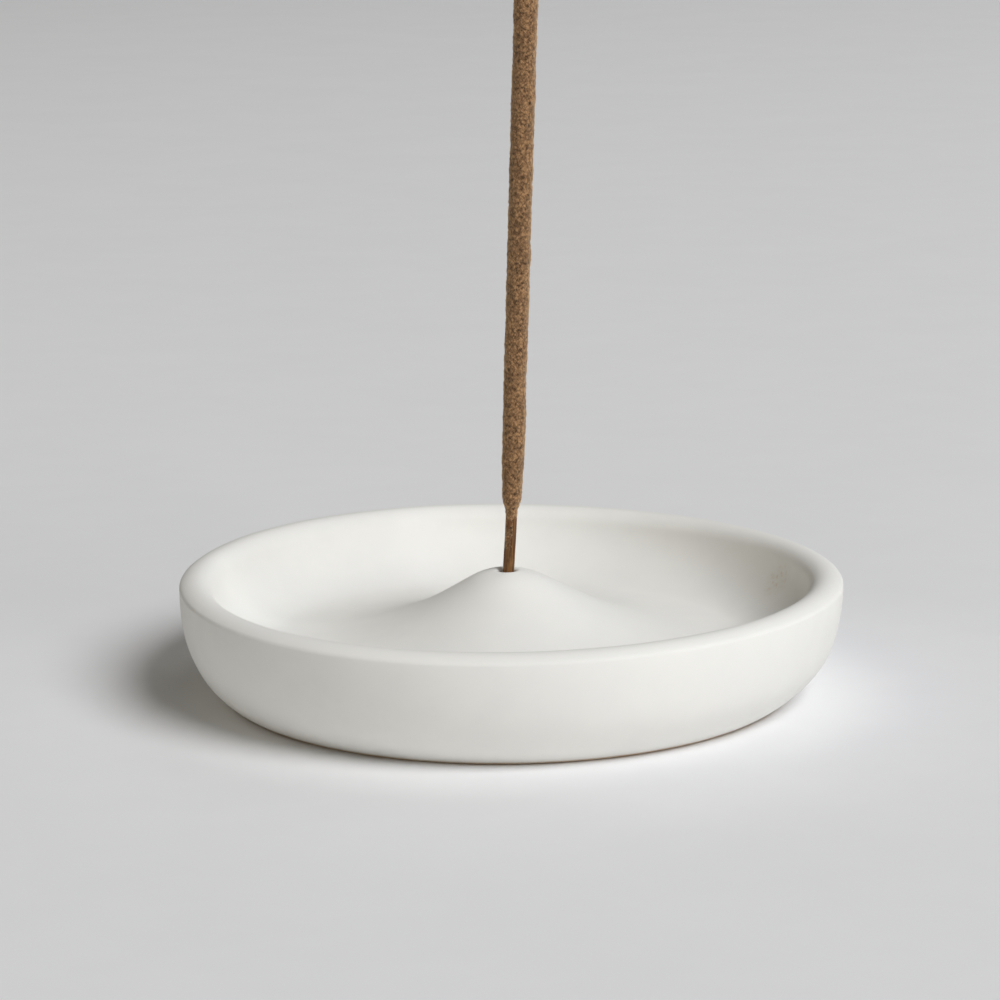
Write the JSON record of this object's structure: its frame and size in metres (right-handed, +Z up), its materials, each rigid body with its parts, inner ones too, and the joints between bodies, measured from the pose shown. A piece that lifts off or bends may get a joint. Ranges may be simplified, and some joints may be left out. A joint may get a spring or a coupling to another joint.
{
  "type": "incense stick holder",
  "caption": "Shallow round unglazed ceramic dish with a soft lip and a pierced mound in its middle, which holds a lift-out incense stick and catches its ash.",
  "frame": {"origin": "on the table, under the middle of the dish", "axes": "+Z up, +X to the right in the picture, the way the stick leans, and +Y away from the camera"},
  "size_m": [0.1, 0.1, 0.2098],
  "materials": {
    "bisque": "matte unglazed white clay, finely sanded",
    "bamboo": "stained split bamboo with lengthwise fibres",
    "incense": "dry grainy brown incense paste, rolled by hand"
  },
  "bodies": {
    "dish": {"dish": "bisque"},
    "incense_stick": {"bamboo_core": "bamboo", "incense_paste": "incense"}
  },
  "joints": [
    {"name": "stick_lift", "type": "slide", "parent": "dish", "child": "incense_stick", "axis": [0.0665, 0, 0.9978], "range_m": [0, 0.04]}
  ]
}
